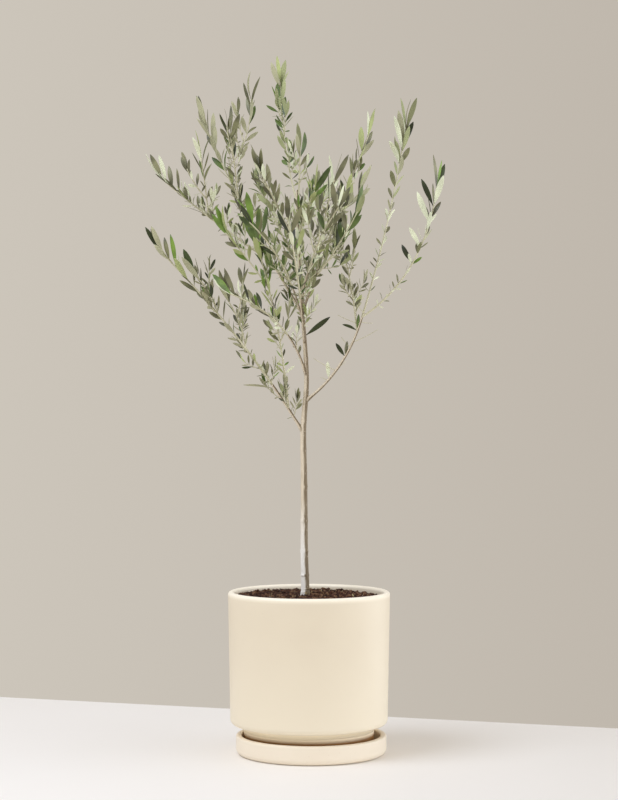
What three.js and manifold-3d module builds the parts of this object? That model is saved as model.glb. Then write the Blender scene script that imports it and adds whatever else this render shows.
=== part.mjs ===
// A young olive tree in a round ceramic pot that stands in its own saucer.
// Millimetres, +Z up. The origin is on the pot's axis, in the saucer's flat underside.
// Azimuths are counted from +X towards +Y, so 270 is the front. Angles are in degrees.
import * as THREE from "three";
import { mergeVertices } from "three/addons/utils/BufferGeometryUtils.js";
import Module from "manifold-3d";

const wasm = await Module();
wasm.setup();

// ---------------------------------------------------------------- driving dimensions

const CLEARANCE = 0.3; // between pieces that touch

const LATHE_STEPS = 36; // facets round the pot and the saucer

const SAUCER = {
  radius: 118,
  height: 30,
  wall: 9.5,
  floor: 8,
  corner: 9,
  lip: 3,
  offset: 3.5, // the pot stands a little off the saucer's middle
};

const POT = {
  rimRadius: 127,
  lowRadius: 123.5, // the wall draws in a little towards its foot
  rimHeight: 254,
  wall: 9.5,
  bodyBottom: 46, // underside of the body, above the narrower foot ring
  corner: 9,
  footRadius: 102,
  floor: 14,
};

const SOIL = {
  edgeHeight: 245,
  crownHeight: 249.2,
  flatRadius: 28,
  shoulderRadius: 80,
  shoulderShare: 0.6, // of the rise from the edge to the crown
};

// The trunk's centre line from ground level to where the leader enters the crown: [x, y, height, radius].
const TRUNK = [
  [-5.9, 0, SOIL.crownHeight + CLEARANCE, 7.6],
  [-5.9, 0, 262, 6.5],
  [-7.4, 1, 320, 5.8],
  [-7.6, 2, 420, 5.0],
  [-8.8, 1, 508, 4.6],
  [-3.8, 0, 590, 3.7],
  [-10.5, 1, 697, 2.8],
  [-17, 2, 794, 2.1],
  [-19, 1, 884, 1.5],
];
const TRUNK_SIDES = 8;
const TRUNK_STEPS = 18;

const BOUGH = { sides: 6, steps: 4, endShare: 0.7 }; // a bough that bears only others keeps its girth

const LEAF = {
  variety: 0.3, // range of lengths among neighbours, as a share
  slimness: 0.22, // width over length
  thickness: 0.03, // of the length
  widestAt: 0.5, // share of the length from the root
  freeFrom: 0.15, // share of the length past which a leaf keeps clear of other nodes
  sunk: 0.4, // how far past the stem's middle the root lies, in stem radii
  liftAtBase: 0.1, // how strongly a leaf turns up towards the light
  liftAtTip: 0.8,
  twist: 150, // range of angles that leaves are turned by about their own midribs
  spreadAtBase: 62, // angle between leaf and stem
  spreadAtTip: 26,
  spreadScatter: 18,
  rollScatter: 50,
  endAt: 0.985, // share of the shoot's length where the single leaf that ends it stands
  endSpread: 12,
  endTwist: 90,
  endShare: 0.85, // its length over the longest
};

const STEM = {
  sides: 3,
  steps: 6,
  tipRadius: 0.9,
  pairOffset: 0.6, // where in its gap each pair stands
  firstPair: 0.12, // share of the length below which there are no leaves
};

const TWIG = {
  radius: 1.15,
  tipRadius: 0.72,
  steps: 2,
  shortest: 34,
  longest: 62,
  share: 0.28, // of the pairs, those with a twig in place of one leaf
  last: 0.8, // share of the shoot's length past which there are no twigs
  lift: 0.5, // how strongly a twig turns up towards the light
  bend: 25, // how much steeper it ends than it starts
  steepest: 85,
  firstPair: 0.2,
};

// How each kind of stem bears its pairs: the longest leaf stands at the tip and the shortest on
// the old wood near the base, and growth is how late along the stem the leaves become long. A
// plain shoot has small close pairs and no twigs, up to a tuft of long leaves.
const STRONG_STEM = { longest: 54, shortest: 18, gap: 27, growth: 1.3, twigs: true };
const PLAIN_STEM = { longest: 54, shortest: 15, gap: 20, growth: 2.4, twigs: false };
const TWIG_STEM = { longest: 34, shortest: 18, gap: 20, growth: 1.1, twigs: false };

const ROOM = 74; // how far from its own stem a mass of foliage may reach
const ROOM_STEPS = 20; // places along the stem from which that is measured

// A fork is a slim shoot that belongs to the mass of the shoot that it stands on.
const FORK = { radius: 1.2, joined: true };

// Each shoot leaves its parent with the given rise above level, and bends evenly to its tip: its
// reach from the pot's axis, its azimuth and its height. A shoot that starts on the trunk does so
// at a height, and one on another shoot at a share of that shoot's length. The bare share from its
// base is a bough, and the rest is the stem of a mass of leaves. The seed picks among the sprays
// that the same rule can grow.
const SHOOTS = {
  lower_left: { on: "trunk", at: 513, tip: [236, 187, 788], rise: 58, radius: 2.2, bare: 0.22 },
  low_fork: { on: "lower_left", at: 0.42, tip: [131, 189, 714], rise: 82, ...FORK },
  low_spray: { on: "lower_left", at: 0.62, tip: [180, 188, 748], rise: 80, ...FORK },
  left_riser: { on: "lower_left", at: 0.11, tip: [102, 216, 801], rise: 82, radius: 1.6, seed: 3 },
  spur: { on: "left_riser", at: 0.7, tip: [140, 203, 812], rise: 55, ...FORK },
  left_inner: { on: "trunk", at: 606, tip: [150, 216, 716], rise: 68, radius: 1.9, bare: 0.34 },
  upper_left: { on: "trunk", at: 698, tip: [180, 160, 1001], rise: 57, radius: 2.1, bare: 0.3, seed: 2 },
  high_fork: { on: "upper_left", at: 0.74, tip: [118, 142, 1038], rise: 42, ...FORK },
  mid_fork: { on: "upper_left", at: 0.6, tip: [124, 182, 972], rise: 70, ...FORK },
  left_wing: { on: "upper_left", at: 0.27, tip: [234, 176, 904], rise: 34, radius: 1.7 },
  wing_fork: { on: "left_wing", at: 0.55, tip: [170, 187, 932], rise: 74, ...FORK },
  lower_right: { on: "trunk", at: 558, tip: [84, 352, 684], rise: 38, radius: 2.3, bare: 1 },
  right_arm: { on: "lower_right", at: 1, tip: [202, 350, 886], rise: 33, radius: 1.6, plain: true, seed: 8 },
  right_riser: { on: "lower_right", at: 0.95, tip: [165, 19, 994], rise: 68, radius: 1.5, plain: true },
  right_inner: { on: "lower_right", at: 0.88, tip: [71, 50, 824], rise: 78, radius: 1.3 },
  upper_right: { on: "trunk", at: 702, tip: [129, 41, 985], rise: 66, radius: 2.0, bare: 0.26 },
  right_front: { on: "upper_right", at: 0.22, tip: [78, 300, 892], rise: 70, radius: 1.5, seed: 3 },
  right_fork: { on: "upper_right", at: 0.16, tip: [92, 325, 846], rise: 40, radius: 1.5, seed: 1 },
  leader: { on: "trunk", at: 884, tip: [14, 190, 944], rise: 86, radius: 1.4 },
  top: { on: "trunk", at: 868, tip: [80, 125, 1064], rise: 56, radius: 1.4, seed: 2 },
  inner_left: { on: "trunk", at: 792, tip: [116, 230, 903], rise: 48, radius: 1.5 },
  inner_front: { on: "trunk", at: 806, tip: [96, 275, 872], rise: 44, radius: 1.4 },
  inner_back: { on: "trunk", at: 820, tip: [104, 78, 876], rise: 50, radius: 1.4 },
  front: { on: "trunk", at: 652, tip: [172, 259, 826], rise: 60, radius: 1.9, bare: 0.3 },
  front_right: { on: "trunk", at: 722, tip: [150, 287, 842], rise: 55, radius: 1.7, bare: 0.2 },
  front_left: { on: "trunk", at: 684, tip: [168, 238, 820], rise: 62, radius: 1.7, bare: 0.26, seed: 1 },
  back: { on: "trunk", at: 664, tip: [186, 96, 868], rise: 62, radius: 1.9, bare: 0.3, seed: 1 },
  back_right: { on: "trunk", at: 732, tip: [172, 60, 898], rise: 55, radius: 1.7, bare: 0.2 },
  back_left: { on: "trunk", at: 742, tip: [166, 119, 902], rise: 52, radius: 1.7, bare: 0.2 },
};

// ---------------------------------------------------------------- materials

function material(color, roughness) {
  return new THREE.MeshStandardMaterial({ color, roughness, metalness: 0 });
}

const CERAMIC = material("#efe2cb", 0.55);
const COMPOST = material("#3a2a22", 0.95);
const BARK = material("#a3937c", 0.8);
const FOLIAGE = material("#7d8a62", 0.6);

// ---------------------------------------------------------------- seeded random numbers

// Mulberry32: the same seed always gives the same run of numbers from 0 to 1.
function seeded(seed) {
  let state = seed >>> 0;
  return () => {
    state = (state + 0x6d2b79f5) >>> 0;
    let t = state;
    t = Math.imul(t ^ (t >>> 15), t | 1);
    t ^= t + Math.imul(t ^ (t >>> 7), t | 61);
    return ((t ^ (t >>> 14)) >>> 0) / 4294967296;
  };
}

// ---------------------------------------------------------------- curves

const UP = new THREE.Vector3(0, 0, 1);
const radians = THREE.MathUtils.degToRad;
const mix = THREE.MathUtils.lerp;

// A unit vector along a level heading, raised by an angle in degrees.
function raised(heading, rise) {
  return heading
    .clone()
    .multiplyScalar(Math.cos(radians(rise)))
    .addScaledVector(UP, Math.sin(radians(rise)));
}

function polar(reach, azimuth, height) {
  return new THREE.Vector3(
    reach * Math.cos(radians(azimuth)),
    reach * Math.sin(radians(azimuth)),
    height,
  );
}

// A curve that starts with the given rise and ends at the tip, in one upright plane.
function bentShoot(start, tip, rise, radius, tipRadius) {
  const heading = tip.clone().sub(start).setZ(0).normalize();
  const half = start.distanceTo(tip) / 2;
  const knee = start.clone().addScaledVector(raised(heading, rise), half);
  const curve = new THREE.QuadraticBezierCurve3(start, knee, tip);
  return {
    heading,
    side: new THREE.Vector3().crossVectors(heading, UP),
    length: curve.getLength(),
    point: (t) => curve.getPoint(t),
    tangent: (t) => curve.getTangent(t),
    radius: (t) => mix(radius, tipRadius, t),
  };
}

const trunkLine = new THREE.CatmullRomCurve3(
  TRUNK.map(([x, y, z]) => new THREE.Vector3(x, y, z)),
  false,
  "catmullrom",
  0.5,
);

function trunkRadius(t) {
  const place = t * (TRUNK.length - 1);
  const k = Math.min(Math.floor(place), TRUNK.length - 2);
  return mix(TRUNK[k][3], TRUNK[k + 1][3], place - k);
}

const trunk = {
  side: new THREE.Vector3(0, -1, 0),
  point: (t) => trunkLine.getPoint(t),
  tangent: (t) => trunkLine.getTangent(t),
  radius: trunkRadius,
};

// The share of the trunk's line at which it reaches a height.
function shareAtHeight(height) {
  let low = 0;
  let high = 1;
  for (let i = 0; i < 30; i++) {
    const middle = (low + high) / 2;
    if (trunk.point(middle).z < height) low = middle;
    else high = middle;
  }
  return (low + high) / 2;
}

// Where a shoot starts, so that its end face stands clear of the limb that carries it.
function startOn(parent, share, tip, rise, radius) {
  const foot = parent.point(share);
  const along = parent.tangent(share);
  const heading = tip.clone().sub(foot).setZ(0).normalize();
  const out = raised(heading, rise);
  if (share === 1) {
    const bend = along.angleTo(out);
    return foot.addScaledVector(out, (CLEARANCE + radius * Math.sin(bend)) / Math.cos(bend));
  }
  const normal = out.clone().addScaledVector(along, -out.dot(along)).normalize();
  const tilt = Math.sqrt(1 - out.dot(normal) ** 2);
  return foot.addScaledVector(normal, parent.radius(share) + radius * tilt + CLEARANCE);
}

// ---------------------------------------------------------------- solids

function toSolid(geometry) {
  const bare = geometry.clone();
  bare.deleteAttribute("normal");
  bare.deleteAttribute("uv");
  const merged = mergeVertices(bare, 1e-4);
  return new wasm.Manifold(
    new wasm.Mesh({
      numProp: 3,
      vertProperties: new Float32Array(merged.attributes.position.array),
      triVerts: new Uint32Array(merged.index.array),
    }),
  );
}

function toGeometry(solid) {
  const mesh = solid.getMesh();
  return new THREE.BufferGeometry()
    .setAttribute("position", new THREE.BufferAttribute(mesh.vertProperties, 3))
    .setIndex(new THREE.BufferAttribute(mesh.triVerts, 1));
}

// A tapering rod that follows a limb from one share of its length to another.
function rod(limb, from, to, sides, steps) {
  const geometry = new THREE.CylinderGeometry(1, 1, 1, sides, steps);
  const position = geometry.attributes.position;
  const v = new THREE.Vector3();
  for (let i = 0; i < position.count; i++) {
    v.fromBufferAttribute(position, i);
    const t = mix(from, to, v.y + 0.5);
    const across = new THREE.Vector3().crossVectors(limb.side, limb.tangent(t)).normalize();
    const r = limb.radius(t);
    const p = limb.point(t).addScaledVector(limb.side, v.x * r).addScaledVector(across, v.z * r);
    position.setXYZ(i, p.x, p.y, p.z);
  }
  return geometry;
}

// A leaf of eight faces: its root, its tip, two edges and the two sides of its midrib.
function leafGeometry({ root, direction, face, twist, length }) {
  const geometry = new THREE.OctahedronGeometry(1);
  const across = new THREE.Vector3().crossVectors(direction, face).normalize();
  across.applyAxisAngle(direction, radians(twist));
  const normal = new THREE.Vector3().crossVectors(across, direction).normalize();
  const halfWidth = (length * LEAF.slimness) / 2;
  const halfThickness = (length * LEAF.thickness) / 2;
  const position = geometry.attributes.position;
  for (let i = 0; i < position.count; i++) {
    const x = position.getX(i);
    const y = position.getY(i);
    const share = y > 0.5 ? 1 : y < -0.5 ? 0 : LEAF.widestAt;
    const p = root
      .clone()
      .addScaledVector(direction, share * length)
      .addScaledVector(across, x * halfWidth)
      .addScaledVector(normal, position.getZ(i) * halfThickness);
    position.setXYZ(i, p.x, p.y, p.z);
  }
  return geometry;
}

// A profile of [radius, height] points turned about the pot's axis.
function turned(profile) {
  const points = profile.map(([r, h]) => new THREE.Vector2(r, h));
  return new THREE.LatheGeometry(points, LATHE_STEPS).rotateX(Math.PI / 2);
}

// Points of a quarter round about a centre, from one angle to another, in degrees.
function quarter(centre, radius, from, to, steps) {
  return Array.from({ length: steps + 1 }, (_, i) => {
    const a = radians(mix(from, to, i / steps));
    return [centre[0] + radius * Math.cos(a), centre[1] + radius * Math.sin(a)];
  });
}

// ---------------------------------------------------------------- pot, saucer and soil

function saucer() {
  const { radius, height, wall, floor, corner, lip } = SAUCER;
  const inner = radius - wall;
  return turned([
    [0, 0],
    ...quarter([radius - corner, corner], corner, -90, 0, 3),
    ...quarter([radius - lip, height - lip], lip, 0, 90, 2),
    ...quarter([inner + lip, height - lip], lip, 90, 180, 2),
    [inner, floor + 2],
    [inner - 2, floor],
    [0, floor],
  ]);
}

const POT_BOTTOM = SAUCER.floor + CLEARANCE;
const POT_FLOOR = POT_BOTTOM + POT.floor;
const RIM_ROUND = POT.wall / 2;

function pot() {
  const { rimRadius, lowRadius, rimHeight, wall, bodyBottom, corner, footRadius } = POT;
  return turned([
    [0, POT_BOTTOM],
    [footRadius - 2, POT_BOTTOM],
    [footRadius, POT_BOTTOM + 2],
    [footRadius, bodyBottom],
    ...quarter([lowRadius - corner, bodyBottom + corner], corner, -90, 0, 3),
    ...quarter([rimRadius - RIM_ROUND, rimHeight - RIM_ROUND], RIM_ROUND, 0, 180, 4),
    [lowRadius - wall, bodyBottom + corner],
    [footRadius - wall, POT_FLOOR],
    [0, POT_FLOOR],
  ]);
}

function soil() {
  const { edgeHeight, crownHeight, flatRadius, shoulderRadius, shoulderShare } = SOIL;
  const low = POT.bodyBottom + POT.corner;
  const share = (edgeHeight - low) / (POT.rimHeight - RIM_ROUND - low);
  const edgeRadius = mix(POT.lowRadius, POT.rimRadius, share) - POT.wall - CLEARANCE;
  return turned([
    [0, POT_FLOOR + CLEARANCE],
    [POT.footRadius - POT.wall - CLEARANCE, POT_FLOOR + CLEARANCE],
    [POT.lowRadius - POT.wall - CLEARANCE, low],
    [edgeRadius, edgeHeight],
    [shoulderRadius, mix(edgeHeight, crownHeight, shoulderShare)],
    [flatRadius, crownHeight],
    [0, crownHeight],
  ]);
}

// ---------------------------------------------------------------- the tree's shoots

function growShoots() {
  const shoots = new Map();
  for (const [name, plan] of Object.entries(SHOOTS)) {
    const parent = plan.on === "trunk" ? trunk : shoots.get(plan.on).limb;
    const share = plan.on === "trunk" ? shareAtHeight(plan.at) : plan.at;
    const tip = polar(...plan.tip);
    const start = plan.joined
      ? parent.point(share)
      : startOn(parent, share, tip, plan.rise, plan.radius);
    const tipRadius = plan.bare === 1 ? plan.radius * BOUGH.endShare : STEM.tipRadius;
    const limb = bentShoot(start, tip, plan.rise, plan.radius, tipRadius);
    shoots.set(name, { ...plan, name, bare: plan.bare ?? 0, limb });
  }
  return shoots;
}

// Straight stretches with a radius, each belonging to a node, that later leaves keep clear of.
const taken = [];

function take(owner, a, b, radius) {
  taken.push({ owner, a, b, radius });
}

function takeLimb(owner, limb, from, to, steps) {
  for (let i = 0; i < steps; i++) {
    const t = mix(from, to, i / steps);
    take(owner, limb.point(t), limb.point(mix(from, to, (i + 1) / steps)), limb.radius(t));
  }
}

// Least distance between two straight stretches.
function distanceBetween(p, q, r, s) {
  const u = q.clone().sub(p);
  const v = s.clone().sub(r);
  const w = p.clone().sub(r);
  const a = u.dot(u);
  const b = u.dot(v);
  const c = v.dot(v);
  const d = u.dot(w);
  const e = v.dot(w);
  const determinant = a * c - b * b;
  const clamp = (x) => Math.min(1, Math.max(0, x));
  let m = determinant < 1e-9 ? 0 : clamp((b * e - c * d) / determinant);
  const n = clamp((b * m + e) / c);
  m = clamp((b * n - d) / a);
  return p.clone().addScaledVector(u, m).distanceTo(r.clone().addScaledVector(v, n));
}

function isFree(owner, a, b, radius) {
  return taken.every(
    (t) => t.owner === owner || distanceBetween(a, b, t.a, t.b) > radius + t.radius + 2 * CLEARANCE,
  );
}

// The direction that leaves a limb at an angle to it, turned about it by a roll.
function sideways(limb, t, angle, roll) {
  const along = limb.tangent(t);
  const across = new THREE.Vector3().crossVectors(limb.side, along);
  const out = limb.side
    .clone()
    .multiplyScalar(Math.cos(radians(roll)))
    .addScaledVector(across, Math.sin(radians(roll)));
  return along
    .multiplyScalar(Math.cos(radians(angle)))
    .addScaledVector(out, Math.sin(radians(angle)));
}

// Adds a leaf to a mass where it is clear of every other node and inside the mass's own space.
function addLeaf(mass, limb, t, outward, share, twist, length) {
  const lift = mix(LEAF.liftAtBase, LEAF.liftAtTip, share);
  const direction = outward.clone().addScaledVector(UP, lift).normalize();
  const base = limb.point(t);
  const root = base.clone().addScaledVector(direction, -limb.radius(t) * LEAF.sunk);
  const from = base.clone().addScaledVector(direction, length * LEAF.freeFrom);
  const to = root.clone().addScaledVector(direction, length);
  const halfWidth = (length * LEAF.slimness) / 2;
  if (!isInside(mass, to) || !isFree(mass.name, from, to, halfWidth)) return;
  take(mass.name, from, to, halfWidth);
  mass.leaves.push({ root, direction, face: limb.tangent(t), twist, length });
}

// Opposite pairs of leaves up a limb, each pair a quarter turn from the last. They are short and
// spread near the base, and long and upright near the tip. Some pairs hold a twig and a leaf.
function addPairs(mass, limb, from, seed, stem) {
  const random = seeded(seed);
  const scatter = (range) => range * (random() - 0.5);
  const pairs = Math.max(2, Math.round((limb.length * (1 - from)) / stem.gap));
  const firstRoll = 360 * random();
  for (let k = 0; k < pairs; k++) {
    const share = (k + STEM.pairOffset) / pairs;
    const t = mix(from, 1, share);
    const twigHere = random() < TWIG.share && stem.twigs && share < TWIG.last;
    for (const half of [0, 180]) {
      const roll = firstRoll + 90 * k + half + scatter(LEAF.rollScatter);
      const spread = mix(LEAF.spreadAtBase, LEAF.spreadAtTip, share) + scatter(LEAF.spreadScatter);
      const grown = mix(stem.shortest, stem.longest, share ** stem.growth);
      const length = grown * (1 + scatter(LEAF.variety));
      const twist = scatter(LEAF.twist);
      const outward = sideways(limb, t, spread, roll);
      if (twigHere && half === 0) addTwig(mass, limb, t, outward, 64 * seed + k);
      else addLeaf(mass, limb, t, outward, share, twist, length);
    }
  }
  const end = sideways(limb, 1, LEAF.endSpread, firstRoll);
  addLeaf(mass, limb, LEAF.endAt, end, 1, LEAF.endTwist, stem.longest * LEAF.endShare);
}

function addTwig(mass, limb, t, outward, seed) {
  const direction = outward.clone().addScaledVector(UP, TWIG.lift).normalize();
  const length = mix(TWIG.shortest, TWIG.longest, seeded(seed)());
  const start = limb.point(t);
  const heading = direction.clone().setZ(0).normalize();
  const rise = THREE.MathUtils.radToDeg(Math.asin(direction.z));
  const tip = start
    .clone()
    .addScaledVector(direction, length / 2)
    .addScaledVector(raised(heading, Math.min(rise + TWIG.bend, TWIG.steepest)), length / 2);
  const twig = bentShoot(start, tip, rise, TWIG.radius, TWIG.tipRadius);
  const clearOfStem = twig.point(TWIG.firstPair);
  if (!isInside(mass, tip) || !isFree(mass.name, clearOfStem, tip, TWIG.radius)) return;
  take(mass.name, clearOfStem, tip, TWIG.radius);
  mass.rods.push(rod(twig, 0, 1, STEM.sides, TWIG.steps));
  addPairs(mass, twig, TWIG.firstPair, seed + 1, TWIG_STEM);
}

// Whether a place lies in the space that a mass keeps to, near one of its own stems.
function isInside(mass, place) {
  return mass.shoots.some(({ limb }) =>
    Array.from({ length: ROOM_STEPS + 1 }, (_, i) => limb.point(i / ROOM_STEPS)).some(
      (point) => point.distanceTo(place) < ROOM,
    ),
  );
}

// ---------------------------------------------------------------- assembly

const plant = new THREE.Group();

function addPiece(name, geometry, finish) {
  const mesh = new THREE.Mesh(geometry, finish);
  mesh.name = name;
  plant.add(mesh);
}

addPiece("saucer", saucer().translate(SAUCER.offset, 0, 0), CERAMIC);
addPiece("pot", pot(), CERAMIC);
addPiece("soil", soil(), COMPOST);
addPiece("trunk", rod(trunk, 0, 1, TRUNK_SIDES, TRUNK_STEPS), BARK);
takeLimb("trunk", trunk, 0, 1, TRUNK_STEPS);

const shoots = growShoots();
for (const { name, limb, bare } of shoots.values()) {
  if (!bare) continue;
  addPiece("bough_" + name, rod(limb, 0, bare, BOUGH.sides, BOUGH.steps), BARK);
  takeLimb("bough_" + name, limb, 0, bare, BOUGH.steps);
}

// Every stem is taken before any leaf grows, so that no leaf stands in a stem's way.
const masses = new Map();
for (const shoot of shoots.values()) {
  if (shoot.bare === 1) continue;
  const home = shoot.joined ? shoot.on : shoot.name;
  if (!masses.has(home)) {
    const seed = 1000 * (masses.size + 1) + 10 * (shoot.seed ?? 0);
    masses.set(home, { name: home, seed, shoots: [], rods: [], leaves: [] });
  }
  const mass = masses.get(home);
  const from = shoot.bare ? shoot.bare + CLEARANCE / shoot.limb.length : 0;
  mass.shoots.push({ ...shoot, from });
  mass.rods.push(rod(shoot.limb, from, 1, STEM.sides, STEM.steps));
  takeLimb(home, shoot.limb, from, 1, STEM.steps);
}

for (const mass of masses.values()) {
  mass.shoots.forEach(({ limb, from, plain }, k) => {
    const stem = plain ? PLAIN_STEM : STRONG_STEM;
    addPairs(mass, limb, from || STEM.firstPair, mass.seed + k, stem);
  });
  const solids = [...mass.rods, ...mass.leaves.map(leafGeometry)].map(toSolid);
  const fused = solids.reduce((whole, piece) => whole.add(piece));
  addPiece("foliage_" + mass.name, toGeometry(fused), FOLIAGE);
}

export default plant;
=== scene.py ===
from itertools import combinations
from math import asin, cos, degrees, exp, pi, radians, sin

import bpy
import numpy as np
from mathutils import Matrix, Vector, noise


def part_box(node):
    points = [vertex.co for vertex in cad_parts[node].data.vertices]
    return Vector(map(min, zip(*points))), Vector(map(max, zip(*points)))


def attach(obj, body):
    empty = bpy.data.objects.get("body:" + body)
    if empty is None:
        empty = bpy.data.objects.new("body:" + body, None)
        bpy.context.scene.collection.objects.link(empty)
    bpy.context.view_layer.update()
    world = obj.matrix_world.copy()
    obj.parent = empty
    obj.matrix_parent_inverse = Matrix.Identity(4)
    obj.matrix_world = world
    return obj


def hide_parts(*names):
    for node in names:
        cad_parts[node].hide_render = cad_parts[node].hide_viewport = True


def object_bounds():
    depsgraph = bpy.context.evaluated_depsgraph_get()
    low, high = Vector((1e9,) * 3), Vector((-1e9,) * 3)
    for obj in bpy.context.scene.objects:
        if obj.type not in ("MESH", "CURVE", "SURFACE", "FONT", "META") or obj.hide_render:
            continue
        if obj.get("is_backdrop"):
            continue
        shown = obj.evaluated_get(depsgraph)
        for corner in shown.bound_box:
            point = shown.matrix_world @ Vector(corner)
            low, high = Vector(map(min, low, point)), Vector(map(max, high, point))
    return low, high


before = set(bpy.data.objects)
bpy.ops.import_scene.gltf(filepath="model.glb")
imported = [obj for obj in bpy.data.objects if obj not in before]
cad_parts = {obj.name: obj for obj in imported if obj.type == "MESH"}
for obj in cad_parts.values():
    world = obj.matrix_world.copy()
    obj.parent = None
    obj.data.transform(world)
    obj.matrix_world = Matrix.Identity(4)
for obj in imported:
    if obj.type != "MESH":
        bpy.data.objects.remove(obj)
CAD_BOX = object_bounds()

# A young olive tree in a footed stoneware pot and saucer. The tree grows by the same seeded rule
# as its solids, with finer twigs and more leaves. Sizes are in millimetres, azimuths in degrees
# from +X towards +Y, and MM turns millimetres to metres where a mesh or a place is made.
MM = 0.001
UP = Vector((0, 0, 1))
CLEARANCE = 0.3  # between a solid and the one that bears it


def mm_box(node):
    low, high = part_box(node)
    return low / MM, high / MM


POT_LOW, POT_HIGH = mm_box("pot")
SAUCER_LOW, SAUCER_HIGH = mm_box("saucer")
TRUNK_FOOT = mm_box("trunk")[0].z

# ------------------------ sizes of the pot and saucer

RIM_RADIUS = POT_HIGH.x
RIM_HEIGHT = POT_HIGH.z
POT = {
    "low_radius": 123.5,
    "wall": 9.5,
    "body_bottom": 46,
    "corner": 9,
    "foot_radius": 102,
    "foot_edge": 2,
    "foot_fillet": 1.5,
    "floor": 14,
}
SAUCER_RADIUS = (SAUCER_HIGH.x - SAUCER_LOW.x) / 2
SAUCER_MIDDLE = (SAUCER_HIGH + SAUCER_LOW) / 2
SAUCER = {"wall": 9.5, "floor": 8, "corner": 9, "lip": 3, "inner_corner": 3}
SOIL = {"edge_height": 247, "crown_height": TRUNK_FOOT - CLEARANCE, "dip": 3}

# ------------------------ sizes of the tree

# The trunk's centre line: x, y, height and radius.
TRUNK = (
    (-5.9, 0, TRUNK_FOOT, 7.6),
    (-5.9, 0, 262, 6.5),
    (-7.4, 1, 320, 5.8),
    (-7.6, 2, 420, 5.0),
    (-8.8, 1, 508, 4.6),
    (-3.8, 0, 590, 3.7),
    (-10.5, 1, 697, 2.8),
    (-17, 2, 794, 2.1),
    (-19, 1, 884, 1.5),
)
BOUGH_END_SHARE = 0.7  # a bare bough's radius at its tip over the one at its foot

# How a leaf stands on its stem. Spreads, scatters and twists are in degrees, and a lift is the
# upward part that is added to a direction.
LEAF = {
    "seat": 0.6,
    "variety": 0.3,
    "slimness": 0.205,
    "lift_at_base": 0.1,
    "lift_at_tip": 0.8,
    "twist": 150,
    "spread_at_base": 62,
    "spread_at_tip": 26,
    "spread_scatter": 18,
    "roll_scatter": 50,
    "end_spread": 12,
    "end_share": 0.85,
    "end_place": 0.985,
    "end_twist": 90,
}
STEM = {"tip_radius": 0.9, "first_pair": 0.12}

# How each kind of stem bears its pairs of leaves. A plain shoot has small close pairs and no
# twigs, up to a tuft of long leaves.
STRONG_STEM = {"longest": 54, "shortest": 18, "gap": 27, "growth": 1.3, "twigs": True}
PLAIN_STEM = {"longest": 54, "shortest": 15, "gap": 20, "growth": 2.4, "twigs": False}
TWIG_STEM = {"longest": 34, "shortest": 18, "gap": 20, "growth": 1.1, "twigs": False}
FINE_TWIG_STEM = {"longest": 25, "shortest": 13, "gap": 12, "growth": 1.1, "twigs": False}
OLD_STEM = {"longest": 22, "shortest": 14, "gap": 15, "growth": 1, "twigs": True}
OLD_WOOD = 0.2  # the share of a bough past which it bears the small pairs of old wood

TWIG = {
    "radius": 1.15,
    "tip_radius": 0.72,
    "shortest": 34,
    "longest": 62,
    "length": 1,
    "share": 0.28,
    "last": 0.8,
    "lift": 0.5,
    "bend": 25,
    "steepest": 85,
    "first_pair": 0.2,
    "stem": TWIG_STEM,
}

# The places of a pair and of a finer pair in each gap, and the turn from one pair to the next.
PAIR_PLACE = 0.6
FINER_PLACE = 0.1
QUARTER = 90
FEWEST_PAIRS = 2

ROOM = 74  # how far a twig or leaf may reach from the stems of its mass


def shoot(on, at, tip, rise, radius, **more):
    plan = {"on": on, "at": at, "tip": tip, "rise": rise, "radius": radius}
    return {**plan, "bare": 0, "joined": False, "seed": 0, "plain": False, **more}


def fork(on, at, tip, rise):
    """A slim shoot that belongs to the mass of the shoot that it stands on."""
    return shoot(on, at, tip, rise, 1.2, joined=True)


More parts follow.
